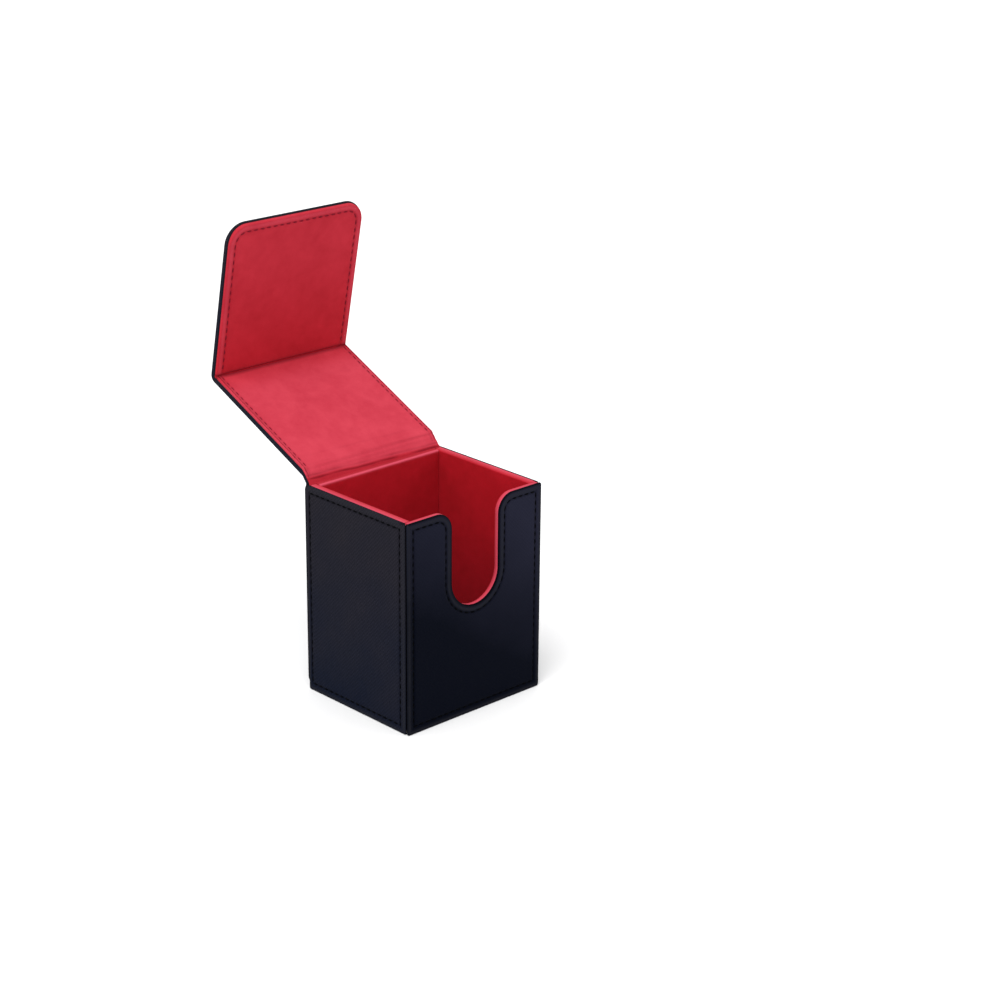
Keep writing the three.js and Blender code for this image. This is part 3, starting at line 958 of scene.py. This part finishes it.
def lid():
    """The lid's leather and suede, from the middle of the strip over the lid crease."""
    end = LID_CREASE + heading(LID_ANGLE) * (LID_REACH - 0.05)
    run = Run([STRIP_MIDDLE, LID_CREASE, end], [1.0])
    strip = STRIP_RUN / 2
    marks = [s for s in run.marks(0.4) if s < 16] + spaced(16, run.length, 24)

    outer = over(run, -1)
    chain = strap(LID_HALF, marks)
    reach = lambda s: STRIP_SIDE + (LID_SIDE - STRIP_SIDE) * smooth((s - strip + 0.6) / 2.4)
    skin = loft("lid_skin", chain, outer, levels(0.45, 0.3, skin=0.6), depth=reach, columns=30,
                open_start=True, open_end=True)
    finish_piece(skin, HATCHED, replaces=["lid_leather", "hinge_strip_leather"])
    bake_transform(skin)

    inner = over(run, 1)
    rise = lambda s: STRIP_FACE + (LID_THICKNESS - STRIP_FACE) * smooth((s - strip + 0.6) / 2.4)
    wrap = lambda s: rise(s) - reach(s) - 0.04
    lining_chain = strap(LID_HALF - SUEDE_INSET, marks)
    # Painted shade along the crease to the flap. pale paints light on the suede: paler from the
    # hinge's deepest fold on, darker again towards the flap.
    crease_shade = lambda s: 1.5 * math.exp(-(((run.length - s) / 0.7) ** 2))
    lining = loft("lid_suede", lining_chain, inner, soft_levels(SUEDE_SEAM), top=rise,
                  depth=wrap, columns=72, open_start=True, open_end=True, seam=SUEDE_SEAM,
                  ripple=lambda x, s: 0.1 * fold_marks(x, s - strip),
                  shade=lambda x, s: max(hinge_shade(x, s - strip), crease_shade(s)),
                  pale=lambda x, s, n: hinge_lit(x, s - strip)
                  - 0.45 * smooth((s - run.length + 16.0) / 16.0))
    finish_piece(lining, CRIMSON, replaces=["lid_lining", "hinge_strip_lining"])
    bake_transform(lining)

    span = (strip + 1.5, run.length)
    outside = stitches("lid_stitching", seam_lines(chain, outer, "strap", span=span))
    finish_piece(outside, BLACK_THREAD, "lid")
    sunk = seam_lines(lining_chain, inner, "strap", rise, span, SOFT_GROOVE, SUEDE_SEAM)
    inside = stitches("lid_lining_stitching", sunk, FINE_THREAD)
    finish_piece(inside, SUNK_THREAD, "lid")


def lid_board():
    """The board in the lid, cut back from the crease so that the lid folds shut over the strip."""
    place = flat((0, *LID_CREASE), (1, 0, 0), (0, *heading(LID_ANGLE)), (0, *suede_side(LID_ANGLE)))
    outline = oblong(corners("lid_board")[1].x, BOARD_START, LID_REACH - 0.3, 0.6)
    core = loft("lid_board_core", outline, place, levels(0.15, 0.15, seam=None),
                top=LID_THICKNESS - SUEDE - 0.05, depth=1.8, seam=None)
    finish_piece(core, BOARD, "lid", ["lid_board"])


def from_edge(x, s):
    """How far a point of the flap's suede is from its edge."""
    aside, ahead = LID_HALF - SUEDE_INSET - abs(x), FLAP_REACH - SUEDE_INSET - s
    if max(aside, ahead) < FLAP_CORNER:
        return FLAP_CORNER - math.hypot(FLAP_CORNER - aside, FLAP_CORNER - ahead)
    return min(aside, ahead)


def flap():
    """The flap, its leather carried round the outside of the crease to the end of the lid."""
    along = heading(FLAP_ANGLE)
    out = -suede_side(FLAP_ANGLE)
    bend = FLAP_ANGLE - LID_ANGLE
    lid_end = FLAP_CREASE - suede_side(LID_ANGLE) * LID_THICKNESS
    tip = lid_end + heading(LID_ANGLE) * LID_THICKNESS * math.tan(bend / 2)
    far = FLAP_CREASE + out * LID_THICKNESS + along * FLAP_REACH
    run = Run([lid_end - heading(LID_ANGLE) * 0.05, tip, far], [LID_THICKNESS])
    arc = LID_THICKNESS * bend
    marks = [s for s in run.marks(1.5, math.radians(5)) if s < arc + 6]
    marks += spaced(arc + 7, run.length - FLAP_CORNER - 1, 18)
    chain = tongue(LID_HALF, run.length, FLAP_CORNER, marks)
    outer = over(run, -1)
    side = lambda left: LID_SIDE - FLAP_TIP_THINNER * (1 - smooth(left / FLAP_CORNER))
    skin = loft("flap_skin", chain, outer, levels(0.45, 0.3, skin=0.6),
                depth=lambda s: side(run.length - s), open_start=True)
    finish_piece(skin, HATCHED, replaces=["flap_leather", "flap_crease_leather"])
    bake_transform(skin)

    straight = Run([FLAP_CREASE, FLAP_CREASE + along * FLAP_REACH], [])
    inner = over(straight, 1)
    marks = [0.12, 0.5, 1.0, *spaced(2.0, FLAP_REACH - FLAP_CORNER - 1, 22)]
    inset = SUEDE_INSET
    lining_chain = tongue(LID_HALF - inset, FLAP_REACH - inset, FLAP_CORNER - inset, marks)
    # Painted shade along the crease. pale paints light on the suede: paler towards its far end, and
    # the brushed term is a painted highlight just in from its edge.
    shade = lambda x, s: 1.5 * math.exp(-((s / 0.8) ** 2))
    brushed = lambda x, s: 0.5 * math.exp(-(((from_edge(x, s) - 1.6) / 1.1) ** 2))
    lining = loft("flap_suede", lining_chain, inner, soft_levels(FLAP_SEAM), columns=40,
                  open_start=True, depth=lambda s: LID_THICKNESS - side(FLAP_REACH - s) - 0.04,
                  seam=FLAP_SEAM, shade=shade,
                  pale=lambda x, s, n: 0.17 + 0.30 * smooth(s / FLAP_REACH + 0.1) + brushed(x, s))
    finish_piece(lining, CRIMSON, "flap", ["flap_lining"])

    span = (arc + 0.5, run.length)
    outside = stitches("flap_stitching", seam_lines(chain, outer, "tongue", span=span))
    finish_piece(outside, BLACK_THREAD, "flap")
    sunk = seam_lines(lining_chain, inner, "tongue", span=(2.0, FLAP_REACH), groove=SOFT_GROOVE,
                      inset=FLAP_SEAM)
    inside = stitches("flap_lining_stitching", sunk, FLAP_THREAD)
    finish_piece(inside, SUNK_THREAD, "flap")


def crease_fill():
    """Suede tucked into the corner between lid and flap, seen from the side."""
    bend = FLAP_ANGLE - LID_ANGLE
    radius = LID_THICKNESS - LID_SIDE - 0.04
    half = LID_HALF - SUEDE_INSET
    steps, columns = 12, 30
    points, faces, covers = [], [], []
    for x in spaced(-half, half, columns + 1):
        for k in range(steps + 1):
            out = -suede_side(LID_ANGLE + bend * k / steps)
            for r in (0.35, radius):
                p = FLAP_CREASE + out * r
                points.append(Vector((x, p.x, p.y)))
                covers.append((x, k * 0.4, r))
    ring = 2 * (steps + 1)
    loop = [2 * k for k in range(steps + 1)] + [2 * k + 1 for k in range(steps, -1, -1)]
    for c in range(columns):
        for a, b in zip(loop, loop[1:] + loop[:1]):
            faces.append((c * ring + a, c * ring + b, (c + 1) * ring + b, (c + 1) * ring + a))
    faces.append(tuple(loop))
    faces.append(tuple(columns * ring + a for a in reversed(loop)))
    fill = build("flap_crease_suede", points, faces, covers)
    finish_piece(fill, CRIMSON)
    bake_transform(fill)


# ---- hidden parts kept from the CAD ------------------------------------------------------------


def hidden_parts():
    magnet = plated("nickel_plate", (0.62, 0.61, 0.58), 0.22, 0.38)
    steel = plated("bare_steel", (0.50, 0.51, 0.53), 0.35, 0.55)
    for name, node in frame["nodes"].items():
        if node.hide_render:
            continue
        material = magnet if "magnet" in name else steel if "disc" in name else BOARD
        node.data.materials.clear()
        node.data.materials.append(material)


# ---- floor, light and camera -------------------------------------------------------------------


def floor():
    reach = 9000.0
    points = [(-reach, -reach, 0), (reach, -reach, 0), (reach, reach, 0), (-reach, reach, 0)]
    ground = build("studio_floor", points, [(0, 1, 2, 3)])
    ground.data.materials.append(studio_floor("pale_paper"))
    ground.location.z = -0.1 * MM


def sun(name, azimuth, elevation, strength, spread):
    data = bpy.data.lights.new(name, "SUN")
    data.energy, data.angle = strength, math.radians(spread)
    lamp = bpy.data.objects.new(name, data)
    bpy.context.scene.collection.objects.link(lamp)
    a, e = math.radians(azimuth), math.radians(elevation)
    back = Vector((math.sin(a) * math.cos(e), -math.cos(a) * math.cos(e), math.sin(e)))
    lamp.location = Vector((0, 0, 0.07)) + back
    lamp.rotation_mode = "QUATERNION"
    lamp.rotation_quaternion = (-back).to_track_quat("-Z", "Y")


def studio():
    """White all round, with a broad light high on the left."""
    sun("key", -62, 58, 2.0, 40)
    world = bpy.data.worlds.new("studio")
    bpy.context.scene.world = world
    world.use_nodes = True
    background = world.node_tree.nodes["Background"]
    background.inputs["Color"].default_value = (1.0, 1.0, 1.0, 1.0)
    background.inputs["Strength"].default_value = 1.1
    bpy.context.scene.view_settings.view_transform = "Standard"


def camera():
    """At the viewing angle the box is shown from, with the box low and left in the frame."""
    azimuth, elevation, roll = math.radians(-43.73), math.radians(20.35), math.radians(0.57)
    distance, aim_right, aim_up = 1091.2, 33.55, 39.11
    centre = Vector((0.0, -1.5, 50.0))
    back = Vector((math.sin(azimuth) * math.cos(elevation),
                   -math.cos(azimuth) * math.cos(elevation), math.sin(elevation)))
    right = Vector((0, 0, 1)).cross(back).normalized()
    up = back.cross(right)
    turned_right = right * math.cos(roll) + up * math.sin(roll)
    turned_up = up * math.cos(roll) - right * math.sin(roll)
    data = bpy.data.cameras.new("camera")
    data.sensor_width, data.lens = 36.0, 86.99
    data.clip_start, data.clip_end = 0.05, 40.0
    eye = bpy.data.objects.new("camera", data)
    bpy.context.scene.collection.objects.link(eye)
    spot = centre + turned_right * aim_right + turned_up * aim_up + back * distance
    turned = Matrix((turned_right, turned_up, back)).transposed()
    eye.matrix_world = Matrix.Translation(spot * MM) @ turned.to_4x4()
    bpy.context.scene.camera = eye


camera()
front_wall()
side_wall("left", -1)
side_wall("right", 1)
back_cover()
back_lining()
base()
lid()
lid_board()
flap()
crease_fill()
hidden_parts()
floor()
studio()
